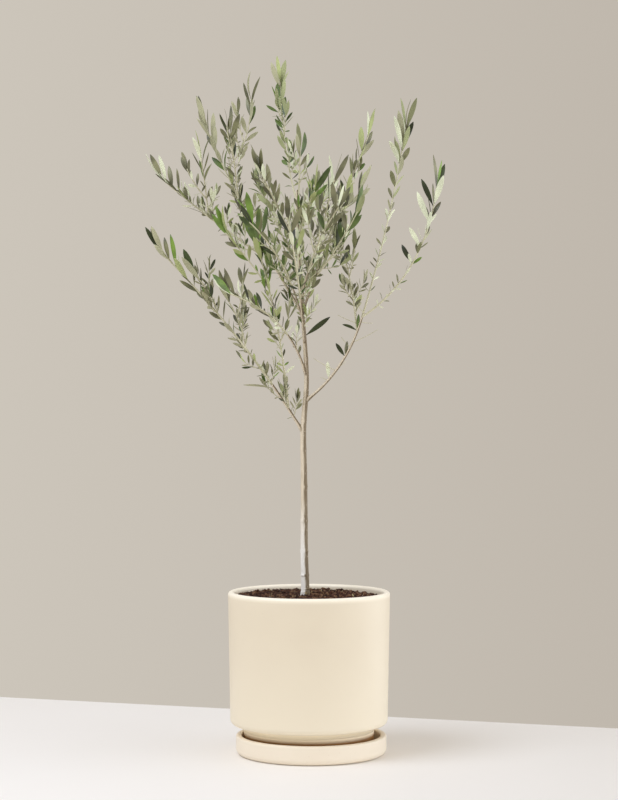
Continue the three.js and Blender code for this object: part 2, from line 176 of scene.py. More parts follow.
# Each shoot leaves its parent with the given rise above level, and bends evenly to its tip: its
# reach from the pot's axis, its azimuth and its height. The bare share is a bough.
SHOOTS = {
    "lower_left": shoot("trunk", 513, (236, 187, 788), 58, 2.2, bare=0.22),
    "low_fork": fork("lower_left", 0.42, (131, 189, 714), 82),
    "low_spray": fork("lower_left", 0.62, (180, 188, 748), 80),
    "left_riser": shoot("lower_left", 0.11, (102, 216, 801), 82, 1.6, seed=3),
    "spur": fork("left_riser", 0.7, (140, 203, 812), 55),
    "left_inner": shoot("trunk", 606, (150, 216, 716), 68, 1.9, bare=0.34),
    "upper_left": shoot("trunk", 698, (180, 160, 1001), 57, 2.1, bare=0.3, seed=2),
    "high_fork": fork("upper_left", 0.74, (118, 142, 1038), 42),
    "mid_fork": fork("upper_left", 0.6, (124, 182, 972), 70),
    "left_wing": shoot("upper_left", 0.27, (234, 176, 904), 34, 1.7),
    "wing_fork": fork("left_wing", 0.55, (170, 187, 932), 74),
    "lower_right": shoot("trunk", 558, (84, 352, 684), 38, 2.3, bare=1),
    "right_arm": shoot("lower_right", 1, (202, 350, 886), 33, 1.6, plain=True, seed=8),
    "right_riser": shoot("lower_right", 0.95, (165, 19, 994), 68, 1.5, plain=True),
    "right_inner": shoot("lower_right", 0.88, (71, 50, 824), 78, 1.3),
    "upper_right": shoot("trunk", 702, (129, 41, 985), 66, 2.0, bare=0.26),
    "right_front": shoot("upper_right", 0.22, (78, 300, 892), 70, 1.5, seed=3),
    "right_fork": shoot("upper_right", 0.16, (92, 325, 846), 40, 1.5, seed=1),
    "leader": shoot("trunk", 884, (14, 190, 944), 86, 1.4),
    "top": shoot("trunk", 868, (80, 125, 1064), 56, 1.4, seed=2),
    "inner_left": shoot("trunk", 792, (116, 230, 903), 48, 1.5),
    "inner_front": shoot("trunk", 806, (96, 275, 872), 44, 1.4),
    "inner_back": shoot("trunk", 820, (104, 78, 876), 50, 1.4),
    "front": shoot("trunk", 652, (172, 259, 826), 60, 1.9, bare=0.3),
    "front_right": shoot("trunk", 722, (150, 287, 842), 55, 1.7, bare=0.2),
    "front_left": shoot("trunk", 684, (168, 238, 820), 62, 1.7, bare=0.26, seed=1),
    "back": shoot("trunk", 664, (186, 96, 868), 62, 1.9, bare=0.3, seed=1),
    "back_right": shoot("trunk", 732, (172, 60, 898), 55, 1.7, bare=0.2),
    "back_left": shoot("trunk", 742, (166, 119, 902), 52, 1.7, bare=0.2),
}

# ------------------------ numbers and directions


def mix(a, b, share):
    return a + (b - a) * share


def multiply_32(a, b):
    return (a * b) & 0xFFFFFFFF


def seeded(seed):
    """Mulberry32: the same seed always gives the same run of numbers from 0 to 1."""
    state = seed

    def draw():
        nonlocal state
        state = (state + 0x6D2B79F5) & 0xFFFFFFFF
        t = multiply_32(state ^ (state >> 15), state | 1)
        t ^= (t + multiply_32(t ^ (t >> 7), t | 61)) & 0xFFFFFFFF
        return (t ^ (t >> 14)) / 4294967296

    return draw


def scatter(draw, span):
    """A random step to either side, half the span at most."""
    return span * (draw() - 0.5)


def raised(heading, rise):
    return heading * cos(radians(rise)) + UP * sin(radians(rise))


def polar(reach, azimuth, height):
    return Vector((reach * cos(radians(azimuth)), reach * sin(radians(azimuth)), height))


def level(direction):
    return Vector((direction.x, direction.y, 0)).normalized()


# ------------------------ limbs

# How finely a limb's length, its direction and the place of a height on it are worked out.
LENGTH_STEPS = 60
TANGENT_STEP = 1e-4
HALVINGS = 30


class Limb:
    """A tapering line that a tube, twigs or leaves follow, by shares of its length."""

    def __init__(self, point, radius, side):
        self.point = point
        self.radius = radius
        self.side = side
        places = [point(i / LENGTH_STEPS) for i in range(LENGTH_STEPS + 1)]
        self.length = sum((b - a).length for a, b in zip(places, places[1:]))

    def tangent(self, t):
        low, high = max(t - TANGENT_STEP, 0), min(t + TANGENT_STEP, 1)
        return (self.point(high) - self.point(low)).normalized()


def bent_shoot(start, tip, rise, radius, tip_radius):
    heading = level(tip - start)
    knee = start + raised(heading, rise) * ((tip - start).length / 2)

    def point(t):
        return start * (1 - t) ** 2 + knee * (2 * t * (1 - t)) + tip * t**2

    return Limb(point, lambda t: mix(radius, tip_radius, t), heading.cross(UP))


def trunk_limb():
    line = [Vector(row[:3]) for row in TRUNK]
    line = [2 * line[0] - line[1], *line, 2 * line[-1] - line[-2]]
    last = len(TRUNK) - 1

    def point(t):
        k = min(int(t * last), last - 1)
        w = t * last - k
        before, a, b, after = line[k : k + 4]
        leave, arrive = (b - before) / 2, (after - a) / 2
        bend = a * 2 - b * 2 + leave + arrive
        return ((bend * w + (b - a) * 3 - leave * 2 - arrive) * w + leave) * w + a

    def radius(t):
        k = min(int(t * last), last - 1)
        return mix(TRUNK[k][3], TRUNK[k + 1][3], t * last - k)

    return Limb(point, radius, Vector((0, -1, 0)))


def share_at_height(limb, height):
    low, high = 0, 1
    for _ in range(HALVINGS):
        middle = (low + high) / 2
        if limb.point(middle).z < height:
            low = middle
        else:
            high = middle
    return (low + high) / 2


def start_on(parent, share, tip, rise, radius):
    """Where a shoot starts, so that its end face stands clear of the limb that carries it, and
    where it would meet the middle of that limb."""
    foot = parent.point(share)
    along = parent.tangent(share)
    out = raised(level(tip - foot), rise)
    if share == 1:
        bend = along.angle(out)
        return foot + out * ((CLEARANCE + radius * sin(bend)) / cos(bend)), foot
    normal = (out - along * out.dot(along)).normalized()
    tilt = (1 - out.dot(normal) ** 2) ** 0.5
    reach = parent.radius(share) + radius * tilt + CLEARANCE
    start = foot + normal * reach
    return start, start - out * (reach / out.dot(normal))


def grow_shoots(trunk):
    shoots = {}
    for name, plan in SHOOTS.items():
        on_trunk = plan["on"] == "trunk"
        parent = trunk if on_trunk else shoots[plan["on"]]["limb"]
        share = share_at_height(trunk, plan["at"]) if on_trunk else plan["at"]
        tip = polar(*plan["tip"])
        start = socket = parent.point(share)
        if not plan["joined"]:
            start, socket = start_on(parent, share, tip, plan["rise"], plan["radius"])
        bears_only = plan["bare"] == 1
        tip_radius = plan["radius"] * BOUGH_END_SHARE if bears_only else STEM["tip_radius"]
        limb = bent_shoot(start, tip, plan["rise"], plan["radius"], tip_radius)
        shoots[name] = {**plan, "name": name, "limb": limb, "socket": socket}
    return shoots


# ------------------------ foliage

# Each tint's upper side and underside.
TINTS = {
    "fresh": ("#688234", "#a9b078"),
    "green": ("#4f602c", "#9fa478"),
    "olive": ("#696849", "#a8a686"),
    "dark": ("#2f3617", "#7d7e5a"),
    "silver": ("#737154", "#dbdec0"),
}

# The share of each shoot's leaves that takes the tint of its spray. The others are dealt evenly.
SPRAY_SHARE = 0.5

# Between the pairs that the solids have, there are finer ones.
FINE = {
    "leaf_share": 0.8,
    "spread_at_base": 78,
    "at_base": 0.95,
    "at_tip": 0.5,
    "twig_share": 0.34,
    "last_twig": 0.6,
    "shortest_leaf": 0.8,
    "longest_leaf": 1.15,
    "roll_scatter": 40,
    "spread_scatter": 20,
}
FINE_TWIG = {"length": 0.62, "radius": 0.8, "tip_radius": 0.5, "stem": FINE_TWIG_STEM}

# How far apart the seeds of masses, of their other forms and of twigs lie.
MASS_SEEDS = 1000
SHOOT_SEEDS = 10
TWIG_SEEDS = 64
SEED_OF_FINE = 500000
SEED_OF_OLD = 9

# Each mass's own tint, and how full it is of finer pairs and twigs.
SPRAYS = {
    "lower_left": ("olive", 1.3),
    "left_riser": ("fresh", 0.8),
    "left_inner": ("silver", 1.0),
    "upper_left": ("olive", 1.8),
    "left_wing": ("silver", 1.8),
    "right_arm": ("silver", 1.0),
    "right_riser": ("silver", 0.5),
    "right_inner": ("olive", 1.0),
    "upper_right": ("olive", 0.8),
    "right_front": ("silver", 0.9),
    "right_fork": ("green", 1.0),
    "leader": ("silver", 1.4),
    "top": ("green", 1.0),
    "inner_left": ("silver", 2.0),
    "inner_front": ("fresh", 1.0),
    "inner_back": ("silver", 1.0),
    "front": ("silver", 1.1),
    "front_right": ("silver", 0.9),
    "front_left": ("green", 1.1),
    "back": ("green", 1.2),
    "back_right": ("olive", 0.9),
    "back_left": ("green", 1.3),
}

# Leaves that stand alone: their limb, their share of its length, their angle off it, their roll
# and twist about it, their length and their tint.
LONE_LEAVES = (
    ("trunk", 0.7, 57, 270, 90, 49, "dark"),
    ("lower_right", 0.28, 46, 90, 100, 27, "silver"),
    ("lower_right", 0.57, 65, 90, -90, 25, "dark"),
    ("lower_right", 0.57, 23, 90, -50, 24, "olive"),
    ("lower_right", 0.86, 88, 90, -40, 25, "dark"),
    ("lower_right", 0.86, 17, 90, -70, 25, "green"),
    ("right_arm", 0.5, 60, 90, -100, 33, "dark"),
    ("right_arm", 0.62, 54, 90, 75, 35, "silver"),
    ("right_arm", 0.78, 38, 90, 80, 52, "silver"),
    ("right_arm", 0.88, 36, 90, -80, 47, "dark"),
    ("right_riser", 0.8, 46, 90, 20, 42, "silver"),
    ("right_riser", 0.83, 34, 90, 110, 36, "dark"),
    ("right_riser", 0.87, 31, 90, 15, 56, "silver"),
    ("right_riser", 0.9, 24, 90, 40, 54, "olive"),
    ("right_riser", 0.88, 14, 270, 40, 50, "dark"),
    ("lower_left", 0.2, 49, 270, 25, 49, "olive"),
)

# Bare twigs on the old wood, thin as wire: their limb, their share of its length, their angle off
# it, their roll about it and their length.
BARE_TWIGS = (
    ("lower_right", 0.27, 116, 90, 13),
    ("lower_right", 0.4, 104, 80, 40),
    ("lower_right", 0.44, 22, 270, 15),
    ("lower_right", 0.68, 74, 100, 22),
    ("lower_right", 0.74, 45, 270, 44),
    ("lower_right", 0.93, 93, 90, 38),
    ("lower_right", 0.95, 85, 270, 19),
    ("right_arm", 0.02, 100, 80, 50),
)
BARE_TWIG = {"radius": 0.65, "tip_radius": 0.4, "lift": 0.12}


def turned_off(limb, t, angle, roll):
    """The direction that leaves a limb at an angle to it, turned about it by a roll."""
    along = limb.tangent(t)
    out = limb.side * cos(radians(roll)) + limb.side.cross(along) * sin(radians(roll))
    return along * cos(radians(angle)) + out * sin(radians(angle))


def lifted(direction, lift):
    return (direction + UP * lift).normalized()


# How many steps a stem is tested in for its mass's room, and a leaf for the wood that it clears.
ROOM_STEPS = 20
WOOD_STEPS = 5


class Mass:
    """The twigs and leaves of one mass, which keep to the space round its own stems."""

    def __init__(self, seed, stem_style, tint, fullness, wood):
        self.seed = seed
        self.stem_style = stem_style
        self.tint = tint
        self.fullness = fullness
        self.wood = wood
        self.stems = []
        self.twigs = []
        self.leaves = []

    def holds(self, place):
        shares = [i / ROOM_STEPS for i in range(ROOM_STEPS + 1)]
        return any((limb.point(t) - place).length < ROOM for limb, _, _ in self.stems for t in shares)

    def clears_wood(self, a, b, radius):
        middle = (a + b) / 2
        reach = (b - a).length / 2 + radius + 2 * CLEARANCE
        for foot, head, girth in self.wood:
            if near_segment(middle, foot, head) > reach + girth:
                continue
            for i in range(WOOD_STEPS + 1):
                place = a.lerp(b, i / WOOD_STEPS)
                if near_segment(place, foot, head) < girth + radius + CLEARANCE:
                    return False
        return True

    def add_leaf(self, limb, t, outward, share, twist, length, tint):
        direction = lifted(outward, mix(LEAF["lift_at_base"], LEAF["lift_at_tip"], share))
        base = limb.point(t)
        tip = base + direction * length
        half_width = length * LEAF["slimness"] / 2
        free_from = base + direction * (2 * limb.radius(t) + half_width)
        if not self.holds(tip) or not self.clears_wood(free_from, tip, half_width):
            return
        root = base + direction * limb.radius(t) * LEAF["seat"]
        self.leaves.append((root, direction, limb.tangent(t), twist, length - limb.radius(t), tint))

    def add_twig(self, limb, t, outward, seed, style):
        direction = lifted(outward, TWIG["lift"])
        length = mix(TWIG["shortest"], TWIG["longest"], seeded(seed)()) * style["length"]
        start = limb.point(t)
        rise = degrees(asin(direction.z))
        end = raised(level(direction), min(rise + TWIG["bend"], TWIG["steepest"]))
        tip = start + (direction + end) * (length / 2)
        twig = bent_shoot(start, tip, rise, style["radius"], style["tip_radius"])
        if self.holds(tip) and self.clears_wood(twig.point(TWIG["first_pair"]), tip, style["radius"]):
            self.twigs.append(twig)
            self.add_pairs(twig, TWIG["first_pair"], 1, seed + 1, style["stem"])

    def add_pairs(self, limb, first, last, seed, stem):
        """Opposite pairs of leaves, each a quarter turn from the last, and finer pairs between."""
        draw = seeded(seed)
        fine = seeded(seed + SEED_OF_FINE)

        def tint():
            chance, other = fine(), fine()
            return self.tint if chance < SPRAY_SHARE else list(TINTS)[int(other * len(TINTS))]

        pairs = max(FEWEST_PAIRS, int(limb.length * (last - first) / stem["gap"] + 0.5))
        first_roll = 360 * draw()
        for k in range(pairs):
            share = (k + PAIR_PLACE) / pairs
            t = mix(first, last, share)
            twig_here = draw() < TWIG["share"] and stem["twigs"] and share < TWIG["last"]
            for half in (0, 180):
                roll = first_roll + QUARTER * k + half + scatter(draw, LEAF["roll_scatter"])
                spread = mix(LEAF["spread_at_base"], LEAF["spread_at_tip"], share)
                spread += scatter(draw, LEAF["spread_scatter"])
                length = mix(stem["shortest"], stem["longest"], share ** stem["growth"])
                length *= 1 + scatter(draw, LEAF["variety"])
                twist = scatter(draw, LEAF["twist"])
                outward = turned_off(limb, t, spread, roll)
                if twig_here and half == 0:
                    self.add_twig(limb, t, outward, TWIG_SEEDS * seed + k, TWIG)
                else:
                    self.add_leaf(limb, t, outward, share, twist, length, tint())
            share = (k + FINER_PLACE) / pairs
            if fine() < mix(FINE["at_base"], FINE["at_tip"], share) * self.fullness:
                t = mix(first, last, share)
                roll = first_roll + QUARTER * k + QUARTER / 2
                self.add_finer_pair(limb, t, share, roll, fine, stem)
        if last < 1:
            return
        end = turned_off(limb, 1, LEAF["end_spread"], first_roll)
        length = stem["longest"] * LEAF["end_share"]
        self.add_leaf(limb, LEAF["end_place"], end, 1, LEAF["end_twist"], length, tint())

    def add_finer_pair(self, limb, t, share, roll, fine, stem):
        for half in (0, 180):
            turn = roll + half + scatter(fine, FINE["roll_scatter"])
            spread = mix(FINE["spread_at_base"], LEAF["spread_at_tip"], share)
            outward = turned_off(limb, t, spread + scatter(fine, FINE["spread_scatter"]), turn)
            length = mix(stem["shortest"], stem["longest"], share ** stem["growth"])
            length *= FINE["leaf_share"] * mix(FINE["shortest_leaf"], FINE["longest_leaf"], fine())
            twig_here = fine() < FINE["twig_share"] * self.fullness and share < FINE["last_twig"]
            if twig_here and stem["twigs"]:
                self.add_twig(limb, t, outward, SEED_OF_FINE + int(fine() * SEED_OF_FINE), FINE_TWIG)
            else:
                twist = scatter(fine, LEAF["twist"])
                self.add_leaf(limb, t, outward, share, twist, length, self.tint)


def near_segment(place, foot, head):
    along = head - foot
    share = max(0, min(1, (place - foot).dot(along) / along.length_squared))
    return (foot + along * share - place).length


def segments(limb, first, last, steps):
    shares = [mix(first, last, i / steps) for i in range(steps + 1)]
    return [(limb.point(a), limb.point(b), limb.radius(a)) for a, b in zip(shares, shares[1:])]


TRUNK_SEGMENTS = 18
BOUGH_SEGMENTS = 4


def grow_masses(trunk, shoots):
    wood = segments(trunk, 0, 1, TRUNK_SEGMENTS)
    for s in shoots.values():
        if s["bare"]:
            wood += segments(s["limb"], 0, s["bare"], BOUGH_SEGMENTS)
    masses = {}
    for s in shoots.values():
        if s["bare"] == 1:
            continue
        home = s["on"] if s["joined"] else s["name"]
        if home not in masses:
            seed = MASS_SEEDS * (len(masses) + 1) + SHOOT_SEEDS * s["seed"]
            stem_style = PLAIN_STEM if s["plain"] else STRONG_STEM
            masses[home] = Mass(seed, stem_style, *SPRAYS[home], wood)
        socket = None if s["bare"] else s["socket"]
        masses[home].stems.append((s["limb"], s["bare"], socket))
    for mass in masses.values():
        for k, (limb, bare, _) in enumerate(mass.stems):
            first = bare + CLEARANCE / limb.length if bare else STEM["first_pair"]
            mass.add_pairs(limb, first, 1, mass.seed + k, mass.stem_style)
            if bare:
                mass.add_pairs(limb, bare * OLD_WOOD, bare, mass.seed + SEED_OF_OLD, OLD_STEM)
    return masses


def lone_leaves(trunk, shoots):
    for name, t, angle, roll, twist, length, tint in LONE_LEAVES:
        limb = trunk if name == "trunk" else shoots[name]["limb"]
        direction = turned_off(limb, t, angle, roll)
        root = limb.point(t) + direction * limb.radius(t) * LEAF["seat"]
        yield root, direction, limb.tangent(t), twist, length, tint


def bare_twigs(shoots):
    for name, t, angle, roll, length in BARE_TWIGS:
        limb = shoots[name]["limb"]
        start = limb.point(t)
        direction = turned_off(limb, t, angle, roll)
        tip = start + lifted(direction, BARE_TWIG["lift"]) * length
        rise = degrees(asin(direction.z))
        yield bent_shoot(start, tip, rise, BARE_TWIG["radius"], BARE_TWIG["tip_radius"])


# ------------------------ meshes


def in_scene(name, data):
    made = bpy.data.objects.new(name, data)
    bpy.context.scene.collection.objects.link(made)
    return made


def solid_mesh(name, mesh_data, materials):
    """A mesh given in millimetres is made in metres."""
    verts, faces = mesh_data
    mesh = bpy.data.meshes.new(name)
    mesh.from_pydata(np.asarray(verts, float) * MM, [], faces)
    for m in materials:
        mesh.materials.append(m)
    return mesh


def piece(name, mesh_data, materials, replaced=(), face_materials=None):
    """A smooth piece of the plant or its pot, which rides on the part's one body."""
    mesh = solid_mesh(name, mesh_data, materials)
    mesh.polygons.foreach_set("use_smooth", [True] * len(mesh.polygons))
    if face_materials:
        mesh.polygons.foreach_set("material_index", face_materials)
    mesh.update()
    made = in_scene(name, mesh)
    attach(made, "root")
    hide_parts(*replaced)
    return made


def ring_faces(first, count):
    """The faces between one ring of points and the next."""
    turn = [(first + i, first + (i + 1) % count) for i in range(count)]
    return [(a, b, b + count, a + count) for a, b in turn]


def turned(profile, steps):
    """A closed profile of (radius, height) points turned about the axis, from axis to axis."""
    angles = [2 * pi * i / steps for i in range(steps)]
    verts = [(0, 0, profile[0][1])]
    faces = [(0, 1 + (i + 1) % steps, 1 + i) for i in range(steps)]
    for r, z in profile[1:-1]:
        if len(verts) > 1:
            faces += ring_faces(len(verts) - steps, steps)
        verts += [(r * cos(a), r * sin(a), z) for a in angles]
    last = len(verts) - steps
    faces += [(last + i, last + (i + 1) % steps, len(verts)) for i in range(steps)]
    verts.append((0, 0, profile[-1][1]))
    return verts, faces


# How many steps a turned outline takes over its small and large rounds, and over its flats.
SMALL_ROUND = 4
LARGE_ROUND = 8
RIM_ROUND_STEPS = 14
SHORT_FLAT = 6
LONG_FLAT = 14


def arc(centre, radius, start, end, steps=LARGE_ROUND):
    angles = [radians(mix(start, end, i / steps)) for i in range(steps + 1)]
    return [(centre[0] + radius * cos(a), centre[1] + radius * sin(a)) for a in angles]


def between(start, end, count=LONG_FLAT):
    """Points between two others, closest near the ends, so that a long flat shades evenly."""
    shares = [(1 - cos(pi * i / count)) / 2 for i in range(1, count)]
    return [(mix(start[0], end[0], s), mix(start[1], end[1], s)) for s in shares]


SOCKET_GIRTH = 1.25  # of a limb's radius, where its foot is sunk in the wood that bears it


def plain_radius(limb, t, angle):
    return limb.radius(t)


def tube(limb, first, last, sides, steps, radius_at=plain_radius, socket=None):
    """A closed tapering tube along a limb. The socket sinks its foot into the limb that bears it."""
    angles = [2 * pi * i / sides for i in range(sides)]
    verts = []

    def add_ring(centre, t, girth):
        across = limb.tangent(t).cross(limb.side).normalized()
        for a in angles:
            out = limb.side * cos(a) + across * sin(a)
            verts.append(tuple(centre + out * (radius_at(limb, t, a) * girth)))

    if socket:
        add_ring(socket, first, SOCKET_GIRTH)
    for k in range(steps + 1):
        t = mix(first, last, k / steps)
        add_ring(limb.point(t), t, 1)
    faces = [tuple(reversed(range(sides)))]
    for ring in range(0, len(verts) - sides, sides):
        faces += ring_faces(ring, sides)
    faces.append(tuple(range(len(verts) - sides, len(verts))))
    return verts, faces


def joined(meshes):
    verts, faces = [], []
    for more_verts, more_faces in meshes:
        first = len(verts)
        verts += more_verts
        faces += [tuple(first + i for i in face) for face in more_faces]
    return verts, faces


# ------------------------ pot, saucer and soil

POT_STEPS = 192
POT_FLOOR = POT_LOW.z + POT["floor"]
RIM_ROUND = POT["wall"] / 2
POT_SHOULDER = POT["body_bottom"] + POT["corner"]


def pot_mesh():
    wall, foot, low, corner = POT["wall"], POT["foot_radius"], POT["low_radius"], POT["corner"]
    edge, fillet = POT["foot_edge"], POT["foot_fillet"]
    edge_centre = (foot - edge, POT_LOW.z + edge)
    fillet_centre = (foot + fillet, POT["body_bottom"] - fillet)
    rim_centre = (RIM_RADIUS - RIM_ROUND, RIM_HEIGHT - RIM_ROUND)
    profile = [
        (0, POT_LOW.z),
        *between((0, POT_LOW.z), (edge_centre[0], POT_LOW.z), SMALL_ROUND),
        *arc(edge_centre, edge, -90, 0, SMALL_ROUND),
        *between((foot, edge_centre[1]), (foot, fillet_centre[1]), SHORT_FLAT),
        *arc(fillet_centre, fillet, 180, 90, SMALL_ROUND),
        *arc((low - corner, POT_SHOULDER), corner, -90, 0),
        *between((low, POT_SHOULDER), (RIM_RADIUS, rim_centre[1])),
        *arc(rim_centre, RIM_ROUND, 0, 180, RIM_ROUND_STEPS),
        *between((RIM_RADIUS - wall, rim_centre[1]), (low - wall, POT_SHOULDER)),
        (low - wall, POT_SHOULDER),
        (foot - wall, POT_FLOOR),
        (0, POT_FLOOR),
    ]
    return turned(profile, POT_STEPS)


def saucer_mesh():
    radius, height = SAUCER_RADIUS, SAUCER_HIGH.z
    corner, lip, floor = SAUCER["corner"], SAUCER["lip"], SAUCER["floor"]
    inner, bend = radius - SAUCER["wall"], SAUCER["inner_corner"]
    bend_centre = (inner - bend, floor + bend)
    profile = [
        (0, 0),
        *between((0, 0), (radius - corner, 0), SMALL_ROUND),
        *arc((radius - corner, corner), corner, -90, 0),
        *between((radius, corner), (radius, height - lip), SHORT_FLAT),
        *arc((radius - lip, height - lip), lip, 0, 90),
        *arc((inner + lip, height - lip), lip, 90, 180),
        *between((inner, height - lip), (inner, bend_centre[1]), SHORT_FLAT),
        *arc(bend_centre, bend, 0, -90, SMALL_ROUND),
        *between((bend_centre[0], floor), (0, floor), SHORT_FLAT),
        (0, floor),
    ]
    verts, faces = turned(profile, POT_STEPS)
    return [(x + SAUCER_MIDDLE.x, y + SAUCER_MIDDLE.y, z) for x, y, z in verts], faces


SOIL_RELIEF = 3.2  # height of the clods
CLOD = 11  # their width
GRAIN = 3.5  # width of the grains on them, which stand half as high
SOIL_RINGS = 70
SOIL_STEPS = 200


def soil_edge_radius(height):
    share = (height - POT_SHOULDER) / (RIM_HEIGHT - RIM_ROUND - POT_SHOULDER)
    return mix(POT["low_radius"], RIM_RADIUS, share) - POT["wall"] - CLEARANCE


def soil_height(x, y):
    """The height of the soil's surface: a low mound round the trunk, broken up into clods."""
    r = (x * x + y * y) ** 0.5
    edge = soil_edge_radius(SOIL["edge_height"])
    mound = mix(SOIL["crown_height"], SOIL["edge_height"], max(0, min(1, r / edge)) ** 2)
    mound -= SOIL["dip"] * max(0, x / edge) ** 2
    clods = noise.noise((x / CLOD, y / CLOD, 0)) * SOIL_RELIEF
    grains = noise.noise((x / GRAIN, y / GRAIN, 5)) * SOIL_RELIEF / 2
    return mound - SOIL_RELIEF / 2 + clods + grains


def soil_mesh():
    foot = POT["foot_radius"] - POT["wall"] - CLEARANCE
    low = POT["low_radius"] - POT["wall"] - CLEARANCE
    edge = soil_edge_radius(SOIL["edge_height"])
    profile = [(0, POT_FLOOR + CLEARANCE), (foot, POT_FLOOR + CLEARANCE), (low, POT_SHOULDER)]
    profile += [(edge * (1 - i / SOIL_RINGS), SOIL["edge_height"]) for i in range(SOIL_RINGS + 1)]
    verts, faces = turned(profile, SOIL_STEPS)
    return [(x, y, soil_height(x, y) if z > POT_SHOULDER + 1 else z) for x, y, z in verts], faces


GOLDEN = (1 + 5**0.5) / 2
LUMP_EDGE = 2.1  # a little over the distance between two neighbouring corners


def lump():
    """The twelve corners and twenty faces of the round form that each crumb is pushed out of."""
    corner = [(0, a, b * GOLDEN) for a in (-1, 1) for b in (-1, 1)]
    corners = [Vector(c[k:] + c[:k]) for k in range(3) for c in corner]
    faces = []
    for a, b, c in combinations(range(12), 3):
        p, q, r = corners[a], corners[b], corners[c]
        if max((p - q).length, (q - r).length, (p - r).length) < LUMP_EDGE:
            outward = (q - p).cross(r - p).dot(p) > 0
            faces.append((a, b, c) if outward else (a, c, b))
    return [c.normalized() for c in corners], faces


LUMP_CORNERS, LUMP_FACES = lump()
PUSHED = (0.7, 1.2)  # how far each corner of a crumb is pushed in or out
CRUMB_SEAT = 0.35  # how far a crumb's middle stands above the soil, of its radius
CRUMB_MARGIN = 1.5  # how near the pot's wall it may lie

# What lies loose on the soil: how many pieces, the smallest and the largest, how far they are
# stretched along their grain, and their seed.
LOOSE = {
    "peat_crumbs": (2600, 1.2, 5, 0.4, 11),
    "bark_chips": (620, 1.5, 5.5, 1.8, 12),
    "straw_fibres": (170, 1, 2.6, 4, 14),
    "perlite_grains": (60, 1, 2.6, 0.3, 13),
}


def crumb_mesh(centre, size, stretch, draw):
    grain = Vector([scatter(draw, 1) for _ in range(3)]).normalized()
    verts = []
    for corner in LUMP_CORNERS:
        v = corner * size * mix(*PUSHED, draw())
        verts.append(tuple(centre + v + grain * v.dot(grain) * stretch))
    return verts, LUMP_FACES


def scattered_crumbs(trunk, count, smallest, largest, stretch, seed):
    """Crumbs strewn over the soil, most of them small, none in the trunk or the pot's wall."""
    draw = seeded(seed)
    edge = soil_edge_radius(SOIL["edge_height"])
    foot = trunk.point(0)
    crumbs = []
    while len(crumbs) < count:
        size = mix(smallest, largest, draw() ** 3) / 2
        r = (edge - size * CRUMB_MARGIN) * draw() ** 0.5
        a = 2 * pi * draw()
        centre = Vector((r * cos(a), r * sin(a), 0))
        if (centre - foot).to_2d().length > trunk.radius(0) + size:
            centre.z = soil_height(centre.x, centre.y) + size * CRUMB_SEAT
            crumbs.append(crumb_mesh(centre, size, stretch * draw(), draw))
    return joined(crumbs)


# ------------------------ wood

# Lengths are in millimetres, and swells and depths are shares of the limb's radius.
NODE_GAP = 44  # between the swellings left by old pairs of leaves
NODE_WANDER = 0.3  # how far a swelling strays, of the gap
WANDER_LENGTH = 90
NODE_LENGTH = 2.6
NODE_SWELL = 0.2
NODE_TURN = 0.7
RIDGES = 2  # the more, the more ridges or pits lie side by side round the limb
RIDGE_LENGTH = 30
RIDGE_DEPTH = 0.05
PITS = 7
PIT_LENGTH = 5
PIT_DEPTH = 0.35 * RIDGE_DEPTH
COLLAR_LENGTH = 5
COLLAR_SWELL = 0.35


def barked_radius(limb, t, angle):
    """Long shallow ridges, and a swelling that is widest on two sides at each old leaf pair."""
    along = t * limb.length
    wander = NODE_GAP * NODE_WANDER * noise.noise((along / WANDER_LENGTH, 0, 7))
    turn, place = divmod(along + wander, NODE_GAP)
    node = exp(-(((place - NODE_GAP / 2) / NODE_LENGTH) ** 2))
    sided = (1 + cos(2 * (angle - turn * pi / 2 + NODE_TURN))) / 2
    ridge = noise.noise((RIDGES * cos(angle), RIDGES * sin(angle), along / RIDGE_LENGTH))
    pit = noise.noise((PITS * cos(angle), PITS * sin(angle), along / PIT_LENGTH))
    relief = NODE_SWELL * node * sided + RIDGE_DEPTH * ridge + PIT_DEPTH * pit
    return limb.radius(t) * (1 + relief)


def collared_radius(limb, t, angle):
    """A bough swells into the wood that bears it."""
    collar = COLLAR_SWELL * exp(-t * limb.length / COLLAR_LENGTH)
    return barked_radius(limb, t, angle) * (1 + collar)


TRUNK_ROOT = 8  # how far the trunk goes on into the soil
TRUNK_SIDES = 28
TRUNK_RINGS = 420
BOUGH_SIDES = 16
BOUGH_RING_GAP = 2


def add_wood(trunk, shoots):
    bark = young_olive_bark()
    root = trunk.point(0) - UP * TRUNK_ROOT
    mesh = tube(trunk, 0, 1, TRUNK_SIDES, TRUNK_RINGS, barked_radius, root)
    piece("trunk_bark", mesh, [bark], ["trunk"])
    for name, s in shoots.items():
        if s["bare"]:
            steps = int(s["limb"].length * s["bare"] / BOUGH_RING_GAP)
            mesh = tube(s["limb"], 0, s["bare"], BOUGH_SIDES, steps, collared_radius, s["socket"])
            piece("bough_bark_" + name, mesh, [bark], ["bough_" + name])


# The sides and rings of the tubes, or the gap from ring to ring.
STEM_SIDES = 8
STEM_RING_GAP = 6
TWIG_SIDES = 6
TWIG_RINGS = 6


def twig_meshes(masses, bare):
    for limb in bare:
        yield tube(limb, 0, 1, TWIG_SIDES, TWIG_RINGS)
    for mass in masses.values():
        for limb, first, socket in mass.stems:
            steps = int(limb.length * (1 - first) / STEM_RING_GAP)
            yield tube(limb, first, 1, STEM_SIDES, steps, socket=socket)
        for limb in mass.twigs:
            yield tube(limb, 0, 1, TWIG_SIDES, TWIG_RINGS)


# ------------------------ leaves

